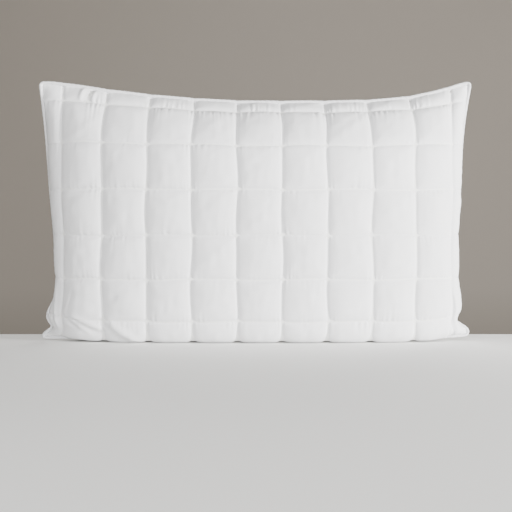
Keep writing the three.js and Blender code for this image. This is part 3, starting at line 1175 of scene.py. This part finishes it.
@dataclass
class Edge:
    """The piped edge: the cord, its sleeve and the seam that holds them."""

    front: Panel
    sleeve_radius: float = 0.0023
    cord_radius: float = 0.0014
    offset: float = 0.0019
    step: float = 0.0016
    rounding: float = 0.005
    lay: float = 0.004  # how far along the cord its strands turn by one radian
    thread_radius: float = 0.00025
    seam_inset: float = 0.0015
    closing_half: float = 0.11  # half the length of the closing seam
    closing_height: float = 0.05  # more than the height of the bottom seam
    closing_aside: float = 0.0007  # how far behind the edge seam it runs

    def seam(self, offset: float) -> Array:
        """The seam's loop, evenly stepped, with its corners rounded.

        Args:
            offset: how far outside the seam it runs.

        Returns:
            The points, with the first repeated at the end.
        """
        grid = self.front.fine
        loop = np.concatenate([grid[0, :-1], grid[:-1, -1], grid[-1, :0:-1], grid[:0:-1, 0]])
        loop[:, 1] = 0
        loop = np.concatenate([loop, loop[:1]])
        along = np.concatenate([[0], np.cumsum(np.linalg.norm(np.diff(loop, axis=0), axis=1))])
        count = round(along[-1] / self.step)
        places = np.arange(count) * along[-1] / count
        even = np.stack([np.interp(places, along, loop[:, axis]) for axis in range(3)], axis=-1)
        reach = round(self.rounding / self.step)
        kernel = np.hanning(2 * reach + 3)[1:-1]
        kernel /= kernel.sum()
        wrapped = np.concatenate([even[-reach:], even, even[:reach]])
        smooth = np.stack([np.convolve(wrapped[:, axis], kernel, "valid") for axis in range(3)], axis=-1)
        tangent = np.roll(smooth, -1, axis=0) - np.roll(smooth, 1, axis=0)
        out = np.cross(np.array([0.0, 1.0, 0.0]), tangent)
        out /= np.linalg.norm(out, axis=1, keepdims=True)
        moved = smooth + out * offset
        return np.concatenate([moved, moved[:1]])

    def sleeve(self, run: Array, turn: Array) -> Array:
        """The sleeve's radius: gathered by its stitching, with its flange reaching in.

        Args:
            run: how far along the seam.
            turn: the angle round it.

        Returns:
            The radius at each place.
        """
        gather = 0.07 * ripple(run, 0.0085, 2.5 * wander(run, 31, 0.012)) + 0.06 * wander(run, 32, 0.02)
        flange = 1.1 * np.clip(-np.cos(turn) - 0.93, 0, None) / 0.07
        return self.sleeve_radius * (1 + gather + flange)

    def strands(self, run: Array, turn: Array) -> Array:
        """The cord's radius: three strands, twisted."""
        return self.cord_radius * (1 + 0.1 * np.cos(3 * (turn - run / self.lay)))

    def thread(self, run: Array, turn: Array) -> Array:
        """The seam thread's radius, which is the same everywhere."""
        return np.full(run.shape, self.thread_radius)

    def build(self) -> None:
        """Makes the sleeve, the cord and the seams' threads."""
        path, inside = self.seam(self.offset), self.seam(-self.seam_inset)
        foot = inside[(np.abs(inside[:, 0]) < self.closing_half) & (inside[:, 2] < self.closing_height)]
        foot = foot[np.argsort(foot[:, 0])] + np.array([0, self.closing_aside, 0])
        sleeve = tube("gathered_sleeve", path, self.sleeve, 14)
        dress(sleeve, PIPING_COTTON, "piping_fabric", "piping_sleeve")
        cord = tube("twisted_cord", path, self.strands, 9)
        dress(cord, TWISTED_CORD, "piping_cord", "piping_cord")
        seam = tube("edge_seam_run", inside, self.thread, 5)
        dress(seam, STITCHES, "thread", "edge_seam_thread")
        closing = tube("closing_seam_run", foot, self.thread, 5, closed=False)
        dress(closing, STITCHES, "thread", "closing_seam_thread")


@dataclass
class Label:
    """The blank care label, caught in the side seam and lying against the back panel."""

    back: Panel
    across: Pair = (0.3435, 0.3715)
    up: Pair = (0.108, 0.156)
    lift: float = 0.0016
    thickness: float = 0.0003
    curl: float = 0.0022  # how much farther its free end stands off
    wave: float = 0.0006
    wave_pitch: float = 0.04833

    def build(self) -> Piece:
        """Makes the label.

        Returns:
            The label.
        """
        across = np.linspace(*self.across, 15)
        up = np.linspace(*self.up, 23)
        points = self.back.settled(across, up)
        normal = outwards(points)
        x, z = np.meshgrid(across, up)
        free = (self.across[1] - x) / (self.across[1] - self.across[0])
        lift = self.lift + self.curl * free**2 + self.wave * ripple(z, self.wave_pitch) * free
        inner = self.back.facing(points + normal * lift[..., None])
        outer = self.back.facing(points + normal * (lift + self.thickness)[..., None])
        label = slab("blank_label", outer, inner, np.stack([x, z], axis=-1))
        flip(label)
        dress(label, LABEL_TAPE, "label_tape", "care_label")
        return label


def build_filling(front: Panel, back: Panel) -> Piece:
    """Makes the loose fibre: everything between the two linings.

    Args:
        front: the front panel.
        back: the back panel.

    Returns:
        The filling.
    """
    flat, faces = front.inner_faces()
    ahead = front.facing(faces[-1])
    behind = back.facing(back.inner_faces()[1][-1])
    filling = slab("loose_fibre", ahead, behind, flat)
    dress(filling, FILLING, "fibre", "fibre_filling")
    return filling


# ---------------------------------------------------------------------------------------------- the studio


@dataclass(frozen=True)
class Lamp:
    """A square soft light that looks at the pillow's middle."""

    name: str
    place: Triple
    size: float
    power: float
    colour: Triple = (1.0, 1.0, 1.0)
    target: Triple = (0.0, 0.0, 0.2)

    def build(self) -> None:
        """Makes the light."""
        data = bpy.data.lights.new(self.name, "AREA")
        data.size = self.size
        data.energy = self.power
        data.color = self.colour
        lamp = bpy.data.objects.new(self.name, data)
        lamp.location = self.place
        lamp.rotation_euler = (Vector(self.target) - lamp.location).to_track_quat("-Z", "Y").to_euler()
        bpy.context.scene.collection.objects.link(lamp)


@dataclass(frozen=True)
class Studio:
    """The floor, the wall, the lights, the sky and the camera."""

    camera_distance: float = 1.48
    camera_height: float = 0.1445
    lens: float = 60.9
    # Each plane: one corner, and the ways and the distances to the two next to it.
    floor: tuple[Triple, ...] = ((-4, -3.08, 0), (8, 0, 0), (0, 3.2, 0))
    floor_colour: Triple = (0.93, 0.93, 0.91)
    wall: tuple[Triple, ...] = ((-5, 3.4, -3), (10, 0, 0), (0, 0, 6))
    wall_colour: Triple = (0.30, 0.27, 0.235)
    sky_colour: Triple = (0.50, 0.47, 0.43)
    sky_strength: float = 0.35
    lamps: tuple[Lamp, ...] = (
        Lamp("key", (2.9, -1.6, 0.32), 0.6, 320, (1.0, 0.99, 0.97)),
        Lamp("front", (0.4, -3.2, 0.4), 0.8, 75, (0.98, 0.99, 1.0)),
        Lamp("top", (0, -1.7, 2.2), 1.6, 32),
        Lamp("back", (0.8, 2.6, 1.2), 1.6, 60, (1.0, 0.98, 0.96)),
    )

    def build(self) -> None:
        """Makes everything that isn't the pillow."""
        self.backdrop("floor", self.floor, self.floor_colour)
        self.backdrop("wall", self.wall, self.wall_colour)
        for lamp in self.lamps:
            lamp.build()
        self.build_sky()
        self.build_camera()

    def backdrop(self, name: str, plane: tuple[Triple, ...], colour: Triple) -> None:
        """A plain matt plane.

        Args:
            name: its name.
            plane: one corner, and the ways and the distances to the two next to it.
            colour: its paint.
        """
        corner, across, up = np.array(plane, float)
        piece = grid_mesh(name, np.array([[corner, corner + across], [corner + up, corner + up + across]]))
        nodes = Nodes(f"{name}_matt")
        nodes.set(Base_Color=(*colour, 1), Roughness=0.9)
        piece.data.materials.append(nodes.material)

    def build_sky(self) -> None:
        """An even, dim sky, which fills the shadows."""
        world = bpy.data.worlds.new("sky")
        world.use_nodes = True
        sky = world.node_tree.nodes["Background"]
        sky.inputs["Color"].default_value = (*self.sky_colour, 1)
        sky.inputs["Strength"].default_value = self.sky_strength
        bpy.context.scene.world = world

    def build_camera(self) -> None:
        """The camera, level and straight ahead."""
        data = bpy.data.cameras.new("camera")
        data.lens = self.lens
        data.sensor_width = 36
        camera = bpy.data.objects.new("camera", data)
        camera.location = (0, -self.camera_distance, self.camera_height)
        camera.rotation_euler = (math.pi / 2, 0, 0)
        bpy.context.scene.collection.objects.link(camera)
        bpy.context.scene.camera = camera


FRONT_FOLDS = (
    Fold((-0.325, 0.099), (-0.283, 0.073), 0.0032, 0.0022),
    Fold((-0.318, 0.101), (-0.248, 0.074), 0.0050, 0.0034),
    Fold((-0.257, 0.096), (-0.195, 0.050), 0.0070, 0.0036),
    Fold((-0.315, 0.150), (-0.324, 0.098), 0.0026, -0.0008),
    Fold((-0.356, 0.160), (-0.345, 0.060), 0.0040, 0.0025),
    Fold((-0.3050, 0.4690), (-0.2990, 0.4990), 0.0036, 0.0030),
    Fold((-0.2920, 0.4690), (-0.2860, 0.4990), 0.0036, -0.0044),
    Fold((0.329, 0.075), (0.327, 0.018), 0.0034, -0.0032),
    Fold((0.340, 0.150), (0.349, 0.060), 0.0035, 0.0020),
)


def main() -> None:
    """Builds the pillow and the studio."""
    Studio().build()
    shape = Cloth().panel()
    front = Panel(Side.FRONT, shape, seed=11, folds=FRONT_FOLDS)
    back = Panel(Side.BACK, shape, seed=211)
    sheets = {}
    for panel in (front, back):
        cover = panel.build_cover()
        wadding, lining = panel.build_layers()
        sheets |= {piece.name: piece for piece in (cover, wadding, lining)}
        panel.build_stitching()
    fill = build_filling(front, back)
    Edge(front).build()
    label = Label(back).build()


if __name__ == "__main__":
    main()
